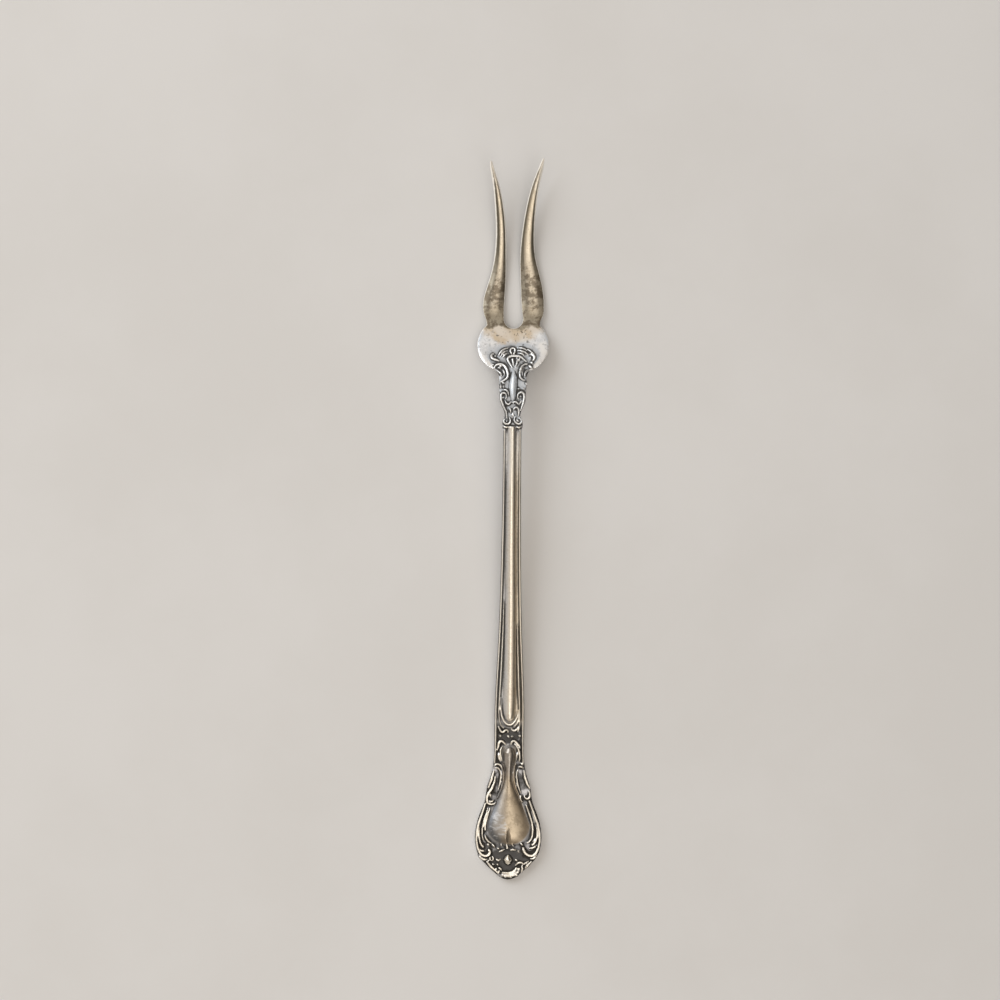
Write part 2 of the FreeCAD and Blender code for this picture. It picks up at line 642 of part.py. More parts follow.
def neck_volutes():
    """Return the paired scrolls and the knot in the narrow of the neck."""
    return [
        strand(neck_zone, [(-1.15, 95.9), (-1.22, 96.6), (-1.34, 97.4), (-1.74, 98.2),
                           (-2.15, 99.0), (-2.4, 99.8), (-2.46, 100.5), (-2.26, 101.15),
                           (-1.8, 101.3), (-1.4, 101.0), (-1.3, 100.45), (-1.5, 100.0)],
               thread_width * 1.15, scroll_height),
        pellet(neck_zone, -1.95, 100.3, 0.8),
        strand(neck_zone, [(-1.55, 99.75), (-1.45, 99.3), (-1.1, 98.95), (-0.7, 98.95),
                           (-0.4, 99.35), (-0.05, 99.4)], thread_width, scroll_height),
        strand(neck_zone, [(1.66, 97.6), (1.92, 98.5), (2.2, 99.3), (2.38, 100.1),
                           (2.34, 100.9), (1.96, 101.42), (1.42, 101.36), (1.05, 100.9),
                           (1.02, 100.3), (1.3, 99.95)], thread_width * 1.15, scroll_height),
        pellet(neck_zone, 1.65, 100.6, 0.8),
        strand(neck_zone, [(0.1, 99.0), (0.4, 99.45), (0.85, 99.3), (1.2, 98.8)],
               thread_width, scroll_height),
        fine(neck_zone, [(1.85, 99.8), (1.6, 99.3), (1.4, 98.9)]),
        strand(neck_zone, [(0.22, 97.6), (0.4, 98.15), (0.82, 98.32), (1.18, 98.0),
                           (1.26, 97.2), (1.2, 96.4)], thread_width, scroll_height),
        strand(neck_zone, [(-0.6, 98.2), (-0.42, 97.6), (-0.38, 97.1)], thread_width),
        strand(neck_zone, [(0.1, 97.2), (0.08, 96.3)], scroll_width, thread_height * 0.7),
        strand(neck_zone, [(-1.98, 101.85), (-1.45, 101.9), (-1.02, 101.5),
                           (-0.88, 100.8)], thread_width, scroll_height),
        strand(neck_zone, [(-2.5, 103.0), (-2.48, 102.2)], thread_width),
        fine(neck_zone, [(-1.95, 102.9), (-1.95, 102.3)]),
        fine(neck_zone, [(-2.2, 103.55), (-1.9, 103.28), (-1.55, 103.45)]),
        strand(neck_zone, [(0.95, 102.15), (1.5, 102.15)], thread_width),
        pellet(neck_zone, 2.25, 102.1, 0.9),
        strand(neck_zone, [(2.75, 103.6), (2.8, 102.9)], thread_width),
    ]


def neck_spindle():
    """Return the bright domed spindle in the middle of the neck."""
    drawn = [(99.7, -0.3, 0.35, 0.3), (100.6, -0.6, 0.7, 0.8), (102.3, -0.85, 0.95, 1.0),
             (103.8, -0.75, 1.0, 1.0), (105.0, -0.45, 0.75, 0.8), (106.0, -0.15, 0.35, 0.3)]
    return [zone_bar(neck_zone, drawn, spindle_height, False)]


def neck_scrolls():
    """Return the C-scrolls that turn out of the neck onto the shoulder."""
    return [
        strand(neck_zone, [(-3.85, 106.3), (-3.65, 106.95), (-3.1, 107.25),
                           (-2.4, 107.25), (-1.75, 106.85), (-1.3, 106.15),
                           (-1.05, 105.3), (-1.1, 104.6), (-1.45, 104.15),
                           (-2.0, 103.85), (-2.55, 103.5)], scroll_width, scroll_height * 1.1),
        strand(neck_zone, [(-2.15, 106.2), (-1.85, 105.6), (-1.7, 104.95)], thread_width),
        strand(neck_zone, [(-3.2, 106.6), (-2.5, 106.35)], thread_width),
        strand(neck_zone, [(-3.5, 106.1), (-2.95, 105.7), (-2.5, 105.25),
                           (-2.4, 104.7)], thread_width, scroll_height),
        strand(neck_zone, [(3.05, 107.35), (2.4, 107.25), (1.85, 106.8), (1.55, 106.1),
                           (1.42, 105.3), (1.5, 104.6), (1.85, 104.15), (2.5, 103.95)],
               scroll_width, scroll_height * 1.1),
        strand(neck_zone, [(3.2, 106.1), (2.7, 105.7), (2.45, 105.1), (2.4, 104.6)],
               thread_width, scroll_height),
        fine(neck_zone, [(2.45, 106.7), (2.08, 106.3), (1.94, 105.6), (1.98, 104.9)]),
        fine(neck_zone, [(-2.85, 106.85), (-2.35, 106.75)]),
    ]


def shoulder_scrolls():
    """Return the hooks, leaves and fan lines that spread over the shoulder."""
    return [
        strand(shoulder_zone, [(-3.9, 109.45), (-4.4, 109.2), (-4.45, 108.65),
                               (-4.0, 108.25), (-3.4, 108.15), (-2.85, 107.8)]),
        fine(shoulder_zone, [(-3.7, 109.2), (-3.68, 108.75)]),
        strand(shoulder_zone, [(3.45, 109.35), (4.0, 109.3), (4.4, 108.9), (4.35, 108.35),
                               (4.0, 108.1)]),
        fine(shoulder_zone, [(3.55, 109.0), (3.6, 108.45)]),
        strand(shoulder_zone, [(3.3, 107.2), (3.6, 106.75), (4.1, 106.55)]),
        strand(shoulder_zone, [(3.55, 107.75), (4.2, 107.45)]),
        strand(shoulder_zone, [(-4.25, 107.35), (-4.1, 106.95)], thread_width),
        strand(shoulder_zone, [(-0.1, 106.4), (-0.5, 107.0), (-0.9, 107.7),
                               (-1.12, 108.3), (-0.8, 108.8), (-0.2, 109.0),
                               (0.6, 109.05), (1.3, 108.95), (1.9, 108.6), (2.4, 108.2),
                               (2.8, 107.8)]),
        fine(shoulder_zone, [(0.75, 108.75), (0.9, 108.1), (0.8, 107.4), (0.5, 106.8)]),
        strand(shoulder_zone, [(-0.15, 108.5), (0.0, 107.7), (0.1, 106.9)], thread_width,
               thread_height, (1.2, 0.5)),
        fine(shoulder_zone, [(1.35, 108.6), (1.25, 107.9)]),
        strand(shoulder_zone, [(-0.2, 109.5), (-0.52, 109.75), (-0.58, 110.2),
                               (-0.38, 110.56), (-0.04, 110.66)],
               thread_width, scroll_height, (0.9, 0.9)),
        strand(shoulder_zone, [(-0.12, 110.66), (0.26, 110.54), (0.42, 110.14),
                               (0.32, 109.7), (0.02, 109.46)],
               thread_width, scroll_height, (0.9, 0.9)),
        strand(shoulder_zone, [(-3.05, 108.95), (-2.75, 109.6), (-2.2, 110.2),
                               (-1.55, 110.55), (-1.0, 110.65)], thread_width),
        fine(shoulder_zone, [(-2.65, 108.75), (-2.3, 109.35), (-1.8, 109.85),
                             (-1.15, 110.15)]),
        fine(shoulder_zone, [(-2.2, 108.65), (-1.85, 109.1), (-1.4, 109.45),
                             (-0.95, 109.62)]),
        strand(shoulder_zone, [(1.0, 110.75), (1.75, 110.7), (2.4, 110.5), (2.9, 110.15)],
               thread_width),
        fine(shoulder_zone, [(0.85, 110.2), (1.75, 110.1), (2.5, 109.8), (3.2, 109.3)]),
        fine(shoulder_zone, [(1.0, 109.65), (1.8, 109.5), (2.4, 109.1)]),
        strand(shoulder_zone, [(2.95, 110.5), (3.6, 110.0), (4.4, 109.4)], thread_width),
    ]


relief_groups = (shoulder_scrolls, neck_scrolls, neck_spindle, neck_volutes, neck_feet,
                 shank_rims, shank_rib, shank_threads, link_scrolls, cartouche_arches,
                 cartouche, ears, end_volutes, bottom_shell, bud, foot_bow)


def fork():
    """Return the whole fork as one solid, seated on its lowest face."""
    body = plate().multiFuse(tines()).Solids[0]
    for group in relief_groups:
        body = body.multiFuse(group()).Solids[0]
    box = body.BoundBox
    body.translate(point(0, -(box.YMin + box.YMax) / 2, -box.ZMin))
    return body


os.makedirs("parts", exist_ok=True)
fork().exportStep("parts/fork.step")
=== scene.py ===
"""Cocktail fork in worn silver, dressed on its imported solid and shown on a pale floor."""

import logging
import math
from dataclasses import dataclass, field
from enum import Enum
from functools import cached_property

import bpy
import numpy as np
from mathutils import Matrix, Vector

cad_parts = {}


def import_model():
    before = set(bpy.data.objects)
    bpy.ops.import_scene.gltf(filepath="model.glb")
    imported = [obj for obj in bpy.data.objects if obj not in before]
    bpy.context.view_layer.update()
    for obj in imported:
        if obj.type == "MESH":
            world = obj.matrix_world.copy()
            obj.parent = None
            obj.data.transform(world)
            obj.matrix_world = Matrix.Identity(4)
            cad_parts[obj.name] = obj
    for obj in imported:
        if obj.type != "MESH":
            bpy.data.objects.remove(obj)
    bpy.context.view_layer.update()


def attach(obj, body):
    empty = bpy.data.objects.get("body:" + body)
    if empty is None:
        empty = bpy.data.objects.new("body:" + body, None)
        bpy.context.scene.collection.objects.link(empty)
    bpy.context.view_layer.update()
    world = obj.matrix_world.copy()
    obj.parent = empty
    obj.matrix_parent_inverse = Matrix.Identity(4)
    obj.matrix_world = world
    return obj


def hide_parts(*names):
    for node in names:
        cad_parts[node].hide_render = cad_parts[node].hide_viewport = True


LOG = logging.getLogger("fork")
MM = 0.001
NOISE_MEAN = 0.5

Colour = tuple[float, float, float]


@dataclass(frozen=True)
class Border:
    """A soft border: where it begins, where it ends and how far a noise moves it."""

    low: float
    high: float
    drift: float = 0.0


@dataclass(frozen=True)
class Band:
    """A stretch between two values, with soft ends."""

    low: float
    high: float
    soft: float


@dataclass(frozen=True)
class Pattern:
    """A noise: features in a metre, octaves, strength of the fine ones, and its stretch."""

    scale: float
    detail: float
    rough: float
    stretch: Colour | None = None


@dataclass(frozen=True)
class Patch:
    """A soft-edged oval of the face, given by its middle and half sizes."""

    across: float
    along: float
    half_width: float
    half_length: float
    drift: float = 0.0
    edge: Border = Border(0.55, 1.1)


class Wire:
    """A node socket that can be used in Python expressions."""

    def __init__(self, graph: "Graph", socket: bpy.types.NodeSocket) -> None:
        """Keep the socket and the graph that it belongs to."""
        self.graph = graph
        self.socket = socket

    def _math(self, operation: str, first: "Wire | float", second: "Wire | float") -> "Wire":
        """Add one Math node.

        Args:
            operation: name of the operation.
            first: left value.
            second: right value.

        Returns:
            The node's result.
        """
        made = self.graph.node("ShaderNodeMath", {"operation": operation}, {0: first, 1: second})
        return Wire(self.graph, made.outputs[0])

    def __add__(self, other: "Wire | float") -> "Wire":
        """Return self + other."""
        return self._math("ADD", self, other)

    def __radd__(self, other: float) -> "Wire":
        """Return other + self."""
        return self._math("ADD", other, self)

    def __sub__(self, other: "Wire | float") -> "Wire":
        """Return self - other."""
        return self._math("SUBTRACT", self, other)

    def __rsub__(self, other: float) -> "Wire":
        """Return other - self."""
        return self._math("SUBTRACT", other, self)

    def __mul__(self, other: "Wire | float") -> "Wire":
        """Return self * other."""
        return self._math("MULTIPLY", self, other)

    def __rmul__(self, other: float) -> "Wire":
        """Return other * self."""
        return self._math("MULTIPLY", other, self)

    def __pow__(self, other: "Wire | float") -> "Wire":
        """Return self raised to other."""
        return self._math("POWER", self, other)

    def __or__(self, other: "Wire | float") -> "Wire":
        """Return the larger of self and other."""
        return self._math("MAXIMUM", self, other)


class Graph:
    """The node tree of one material, emptied and ready for its nodes."""

    def __init__(self, name: str) -> None:
        """Create the material.

        Args:
            name: name of the material.
        """
        self.material = bpy.data.materials.new(name)
        self.material.use_nodes = True
        self.tree = self.material.node_tree
        self.tree.nodes.clear()

    def node(self, kind: str, settings: dict, sockets: dict) -> bpy.types.Node:
        """Add one node.

        Args:
            kind: type of the node.
            settings: properties that are set first.
            sockets: input names or numbers to their values or wires.

        Returns:
            The new node.
        """
        made = self.tree.nodes.new(kind)
        for name, value in settings.items():
            setattr(made, name, value)
        for name, value in sockets.items():
            if isinstance(value, Wire):
                self.tree.links.new(value.socket, made.inputs[name])
            else:
                made.inputs[name].default_value = value
        return made

    def attribute(self, name: str) -> Wire:
        """Return a number stored on the piece's points."""
        made = self.node("ShaderNodeAttribute", {"attribute_name": name}, {})
        return Wire(self, made.outputs["Fac"])

    def place(self) -> Wire:
        """Return the point's place on the object."""
        return Wire(self, self.node("ShaderNodeTexCoord", {}, {}).outputs["Object"])

    def axes(self) -> tuple[Wire, Wire, Wire]:
        """Return the three coordinates of the point's place."""
        split = self.node("ShaderNodeSeparateXYZ", {}, {0: self.place()})
        return tuple(Wire(self, output) for output in split.outputs)

    def stretched(self, scale: Colour) -> Wire:
        """Return the place scaled along each axis."""
        made = self.node("ShaderNodeMapping", {}, {"Vector": self.place(), "Scale": scale})
        return Wire(self, made.outputs[0])

    def noise(self, pattern: Pattern) -> Wire:
        """Return a noise.

        Args:
            pattern: its scale, detail and stretch.

        Returns:
            The noise, about 0.5 on average.
        """
        vector = self.stretched(pattern.stretch) if pattern.stretch else self.place()
        made = self.node("ShaderNodeTexNoise", {}, {
            "Vector": vector, "Scale": pattern.scale,
            "Detail": pattern.detail, "Roughness": pattern.rough})
        return Wire(self, made.outputs["Fac"])

    def stray(self, value: Wire, noise: Wire, width: float) -> Wire:
        """Return a value that a noise moves by up to half a width either way."""
        return value + (noise - NOISE_MEAN) * width

    def step(self, value: Wire, border: Border, noise: "Wire | None" = None) -> Wire:
        """Return a smooth step from 0 to 1 across a border.

        Args:
            value: what crosses the border.
            border: where the step begins and ends.
            noise: what moves the border by its drift, if anything does.

        Returns:
            The step.
        """
        moved = self.stray(value, noise, border.drift) if noise else value
        made = self.node("ShaderNodeMapRange", {"interpolation_type": "SMOOTHSTEP"}, {
            "Value": moved, "From Min": border.low, "From Max": border.high})
        return Wire(self, made.outputs["Result"])

    def band(self, value: Wire, band: Band) -> Wire:
        """Return 1 inside a band and 0 outside it.

        Args:
            value: what crosses the band.
            band: its ends and how soft they are.

        Returns:
            The mask.
        """
        start = Border(band.low - band.soft, band.low + band.soft)
        end = Border(band.high - band.soft, band.high + band.soft)
        return self.step(value, start) * (1 - self.step(value, end))

    def blend(self, share: "Wire | float", first: "Wire | Colour",
              second: "Wire | Colour") -> Wire:
        """Return a colour between two others.

        Args:
            share: how much of the second there is.
            first: the colour at 0.
            second: the colour at 1.

        Returns:
            The blended colour.
        """
        colours = {6: first, 7: second}
        sockets = {name: value if isinstance(value, Wire) else (*value, 1.0)
                   for name, value in colours.items()}
        made = self.node("ShaderNodeMix", {"data_type": "RGBA"}, {0: share, **sockets})
        return Wire(self, made.outputs[2])

    def finish(self, shader: bpy.types.Node) -> bpy.types.Material:
        """Join the shader to the output.

        Args:
            shader: the last shader node.

        Returns:
            The finished material.
        """
        output = self.tree.nodes.new("ShaderNodeOutputMaterial")
        self.tree.links.new(shader.outputs[0], output.inputs["Surface"])
        return self.material


@dataclass(frozen=True)
class Tones:
    """The colours of the old silver, and of its painted highlights, reflections and shade."""

    plain: Colour = (0.86, 0.83, 0.78)
    cool: Colour = (0.76, 0.77, 0.80)
    sunk_field: Colour = (0.50, 0.50, 0.525)
    cool_field: Colour = (0.50, 0.535, 0.585)
    cool_crest: Colour = (0.86, 0.88, 0.90)
    bright: Colour = (0.88, 0.84, 0.765)
    crown: Colour = (0.52, 0.44, 0.335)
    # Painted cool reflection on the drop's left, and the tone of its top knob.
    lilac: Colour = (0.40, 0.39, 0.39)
    # Also the painted shade at the drop's left edge.
    slate: Colour = (0.145, 0.153, 0.168)
    # Also the painted shade at the drop's right edge.
    umber: Colour = (0.235, 0.19, 0.14)
    haze: Colour = (0.56, 0.57, 0.59)
    # Also the painted reflection on the shank's left and the painted glint of the drop's
    # scratches.
    pewter: Colour = (0.62, 0.63, 0.655)
    # Painted reflection on the shank's right.
    fawn: Colour = (0.70, 0.60, 0.46)
    frost: Colour = (0.66, 0.71, 0.78)
    # Painted highlight of the rounded rims of the head.
    rim_highlight: Colour = (0.95, 0.93, 0.88)
    tan: Colour = (0.56, 0.465, 0.35)
    gold: Colour = (0.66, 0.585, 0.46)
    # Painted shade of the tines' flanks.
    flank_shade: Colour = (0.115, 0.105, 0.08)
    tarnish: Colour = (0.31, 0.235, 0.15)
    stain: Colour = (0.10, 0.075, 0.05)
    recess: Colour = (0.030, 0.027, 0.024)


@dataclass(frozen=True)
class Zones:
    """Where the parts of the face lie, and the noises and borders that the coats share."""

    cloud: Pattern = Pattern(420.0, 5.0, 0.6)
    broad: Pattern = Pattern(150.0, 4.0, 0.6)
    speck: Pattern = Pattern(2600.0, 3.0, 0.6)
    drawn: Pattern = Pattern(900.0, 4.0, 0.6, (1.0, 0.1, 1.0))
    tines: Border = Border(39.6 * MM, 40.4 * MM, 3.0 * MM)
    roots: Border = Border(50.5 * MM, 56.5 * MM, 10.0 * MM)
    left: Border = Border(-2.4 * MM, 0.4 * MM, 4.0 * MM)
    slim: Border = Border(-43.5 * MM, -41.0 * MM)
    neck: Border = Border(18.5 * MM, 20.5 * MM)
    shank: Band = Band(-43.0 * MM, 18.5 * MM, 2.0 * MM)
    drop_middle: float = -63.7 * MM
    drop_girth: float = 4.4 * MM
    drop_taper: float = 0.36
    drop_tip: float = 1.4 * MM
    drop_foot: float = 4.0 * MM
    drop_rim: Border = Border(0.95, 1.25)
    drop_end: Border = Border(-47.8 * MM, -46.6 * MM)
    crest: Border = Border(0.40, 0.50, 0.06)
    thin: Border = Border(0.60, 0.80, 0.05)
    thin_share: float = 0.92
    mottle: Border = Border(0.46, 0.64, 0.5)
    grain: Border = Border(0.50, 0.66, 0.5)
    warm: Border = Border(0.40, 0.65)
    warm_share: float = 0.3
    steep: Band = Band(0.17, 0.93, 0.06)
    head: Border = Border(32.5 * MM, 34.0 * MM)
    fan: Patch = Patch(0.0, 34.0 * MM, 5.4 * MM, 5.2 * MM)
    spindle: Patch = Patch(0.0, 28.0 * MM, 0.85 * MM, 4.0 * MM)


class Face:
    """What the coats read of the fork's face: its measures, noises and zones."""

    def __init__(self, graph: Graph, tones: Tones, zones: Zones) -> None:
        """Read the place and the stored measures and make the noises.

        Args:
            graph: the graph that gets the nodes.
            tones: the colours of the finish.
            zones: where the parts of the face lie.
        """
        self.graph = graph
        self.tones = tones
        self.zones = zones
        self.across, self.along, _ = graph.axes()
        self.relief, self.groove, self.sunk, self.outline, self.steep, self.lean = (
            graph.attribute(name)
            for name in ("relief", "groove", "sunk", "outline", "steep", "lean"))
        self.cloud, self.broad, self.speck, self.drawn = (
            graph.noise(pattern)
            for pattern in (zones.cloud, zones.broad, zones.speck, zones.drawn))

    @cached_property
    def tines(self) -> Wire:
        """The head beyond the crotch, with an uneven start."""
        return self.graph.step(self.along, self.zones.tines, self.cloud)

    @cached_property
    def roots(self) -> Wire:
        """The stained lower part of the tines."""
        return self.tines * (1 - self.graph.step(self.along, self.zones.roots, self.cloud))

    @cached_property
    def left(self) -> Wire:
        """The left half of the face."""
        return 1 - self.graph.step(self.across, self.zones.left, self.broad)

    @cached_property
    def slim(self) -> Wire:
        """All that lies beyond the handle's end."""
        return self.graph.step(self.along, self.zones.slim)

    @cached_property
    def neck(self) -> Wire:
        """The ornamented neck and shoulder."""
        return self.graph.step(self.along, self.zones.neck) * (1 - self.tines)

    @cached_property
    def shank(self) -> Wire:
        """The fluted shank."""
        return self.graph.band(self.along, self.zones.shank)

    @cached_property
    def reach(self) -> Wire:
        """How far out on the drop: 0 in its middle and 1 on its outline."""
        zones = self.zones
        rise = (self.along - zones.drop_middle) | 0.0
        girth = (zones.drop_girth - rise * zones.drop_taper) | zones.drop_tip
        foot = ((zones.drop_middle - self.along) | 0.0) * (1 / zones.drop_foot)
        return self.across * self.across * girth ** -2 + foot * foot

    @cached_property
    def drop(self) -> Wire:
        """The plain domed drop of the handle's end."""
        inside = 1 - self.graph.step(self.reach, self.zones.drop_rim)
        return inside * (1 - self.graph.step(self.along, self.zones.drop_end))

    @cached_property
    def crest(self) -> Wire:
        """The worn crests of the relief."""
        return 1 - self.graph.step(self.groove, self.zones.crest, self.speck)

    @cached_property
    def thin(self) -> Wire:
        """The thin dark lines beside the ridges, beyond the handle's end."""
        line = self.graph.step(self.outline, self.zones.thin, self.speck)
        return line * self.slim * self.zones.thin_share

    @cached_property
    def mottle(self) -> Wire:
        """Fine uneven spots."""
        return self.graph.step(self.cloud, self.zones.mottle, self.speck)

    @cached_property
    def grain(self) -> Wire:
        """Fine spots drawn out along the fork."""
        return self.graph.step(self.speck, self.zones.grain, self.drawn)

    @cached_property
    def warm(self) -> Wire:
        """The faint brown streaks of the tines."""
        streaks = self.tines * self.graph.step(self.drawn, self.zones.warm)
        return streaks * (1 - self.roots) * self.zones.warm_share

    @cached_property
    def rim_highlight(self) -> Wire:
        """The rounded edges of the shoulder plate and the tines, which get a pale painted
        highlight.
        """
        rim_highlight = self.graph.band(self.steep, self.zones.steep)
        rim_highlight = rim_highlight * self.graph.step(self.along, self.zones.head)
        return rim_highlight * (1 - self.patch(self.zones.fan))

    @cached_property
    def spindle(self) -> Wire:
        """The domed spindle of the neck."""
        return self.patch(self.zones.spindle) * (1 - self.thin)

    def patch(self, patch: Patch) -> Wire:
        """Return 1 inside an oval of the face and 0 outside it.

        Args:
            patch: the oval, and how far the noises move it.

        Returns:
            The mask.
        """
        across, along = self.across, self.along
        if patch.drift:
            across = self.graph.stray(across, self.broad, patch.drift)
            along = self.graph.stray(along, self.cloud, patch.drift)
        side = (across - patch.across) * (1 / patch.half_width)
        length = (along - patch.along) * (1 / patch.half_length)
        return 1 - self.graph.step(side * side + length * length, patch.edge)


class Coat:
    """One coat of colour: the silver's own tones, and in places painted light and shade."""

    def over(self, face: Face, body: Wire) -> Wire:
        """Lay the coat over the metal.

        Args:
            face: what it reads of the face.
            body: the colour below it.

        Returns:
            The colour with the coat.
        """
        raise NotImplementedError


@dataclass(frozen=True)
class ShankCoat(Coat):
    """The fluted shank, painted reflection as pewter on the left and fawn on the right, and the
    cool neck.
    """

    split: Border = Border(-0.7 * MM, 0.0)
    fade: Border = Border(2.0 * MM, 18.0 * MM)
    fade_share: float = 0.7
    grain_share: float = 0.35
    shank_share: float = 0.8
    neck_share: float = 0.6

    def over(self, face: Face, body: Wire) -> Wire:
        """Lay the coat over the metal.

        Args:
            face: what it reads of the face.
            body: the colour below it.

        Returns:
            The colour with the coat.
        """
        graph, tones = face.graph, face.tones
        fade = graph.step(face.along, self.fade) * self.fade_share
        # Painted reflection: cool pewter on the shank's left side and brown fawn on its right.
        flute = graph.blend(graph.step(face.across, self.split), tones.pewter, tones.fawn)
        flute = graph.blend(fade, flute, tones.pewter)
        flute = graph.blend(face.grain * self.grain_share, flute, tones.tarnish)
        body = graph.blend(face.shank * self.shank_share, body, flute)
        return graph.blend(face.neck * self.neck_share, body, tones.cool)


@dataclass(frozen=True)
class DropCoat(Coat):
    """The domed drop: brown, with painted cool reflection as lilac on its left, lilac on its top
    knob, and painted shade towards its outline.
    """

    knob: Border = Border(-55.5 * MM, -51.5 * MM)
    lilac_share: float = 0.75
    edge: Border = Border(0.2, 0.75, 0.4)
    edge_shade_share: float = 0.7
    edge_shade_left: float = 0.3

    def over(self, face: Face, body: Wire) -> Wire:
        """Lay the coat over the metal.

        Args:
            face: what it reads of the face.
            body: the colour below it.

        Returns:
            The colour with the coat.
        """
        graph, tones = face.graph, face.tones
        knob = graph.step(face.along, self.knob)
        # Painted shade: the dome darkens towards its outline, more on its left.
        edge = graph.step(face.reach, self.edge, face.cloud)
        edge = edge * (self.edge_shade_share + self.edge_shade_left * face.left)
        # Painted reflection: the dome's left half turns lilac; the top knob turns lilac too.
        crown = graph.blend((face.left | knob) * self.lilac_share, tones.crown, tones.lilac)
        # The painted shade is slate on the left and umber on the right.
        crown = graph.blend(edge, crown, graph.blend(face.left, tones.umber, tones.slate))
        return graph.blend(face.drop, body, crown)


@dataclass(frozen=True)
class ReliefCoat(Coat):
    """The struck relief: grey sunk fields and bright crests, both cooler on the neck."""

    hollow: Border = Border(0.50, 0.56)
    drop_loss: float = 0.9
    shank_loss: float = 0.25

    def over(self, face: Face, body: Wire) -> Wire:
        """Lay the coat over the metal.

        Args:
            face: what it reads of the face.
            body: the colour below it.

        Returns:
            The colour with the coat.
        """
        graph, tones = face.graph, face.tones
        hollow = graph.step(face.sunk, self.hollow) * (1 - face.tines)
        hollow = hollow * (1 - face.drop * self.drop_loss) * (1 - face.shank)
        grey = graph.blend(face.neck, tones.sunk_field, tones.cool_field)
        crest = face.crest * (1 - self.shank_loss * face.shank)
        crest = crest * (1 - face.tines) * (1 - face.drop)
        bright = graph.blend(face.neck, tones.bright, tones.cool_crest)
        return graph.blend(crest, graph.blend(hollow, body, grey), bright)


@dataclass(frozen=True)
class SpottedCoat(Coat):
    """Haze on the neck, brown spots on the drop, and scratches on the drop painted as pale glints.
    """

    neck_share: float = 0.7
    drop_share: float = 0.45
    left_loss: float = 0.2
    streaks: Pattern = Pattern(1300.0, 3.0, 0.6, (0.35, 1.0, 1.0))
    streak: Border = Border(0.50, 0.62)
    scuffed: Patch = Patch(-2.1 * MM, -63.9 * MM, 1.9 * MM, 3.0 * MM)
    scratch_glint_share: float = 0.65

    def over(self, face: Face, body: Wire) -> Wire:
        """Lay the coat over the metal.

        Args:
            face: what it reads of the face.
            body: the colour below it.

        Returns:
            The colour with the coat.
        """
        graph, tones = face.graph, face.tones
        body = graph.blend(face.neck * face.mottle * self.neck_share, body, tones.haze)
        spots = face.drop * face.mottle * (self.drop_share - self.left_loss * face.left)
        body = graph.blend(spots, body, tones.umber)
        # Scratches on the drop's lower left, with their glint painted pale.
        scratch_glints = graph.step(graph.noise(self.streaks), self.streak) * face.patch(self.scuffed)
        return graph.blend(scratch_glints * self.scratch_glint_share, body, tones.pewter)


@dataclass(frozen=True)
class CrotchCoat(Coat):
    """The blotched tan of the shoulder plate around the crotch."""

    crotch: Patch = Patch(-0.4 * MM, 41.0 * MM, 7.4 * MM, 4.8 * MM, drift=4.0 * MM)
    blotch: Border = Border(0.40, 0.62, 0.9)
    share: float = 0.62
    blotch_gain: float = 0.2
    mottle_gain: float = 0.16
    crest_loss: float = 0.5

    def over(self, face: Face, body: Wire) -> Wire:
        """Lay the coat over the metal.

        Args:
            face: what it reads of the face.
            body: the colour below it.

        Returns:
            The colour with the coat.
        """
        blotch = face.graph.step(face.broad, self.blotch, face.cloud)
        share = self.share + self.blotch_gain * blotch + self.mottle_gain * face.mottle
        tan = face.patch(self.crotch) * share * (1 - face.crest * self.crest_loss)
        return face.graph.blend(tan, body, face.tones.tan)


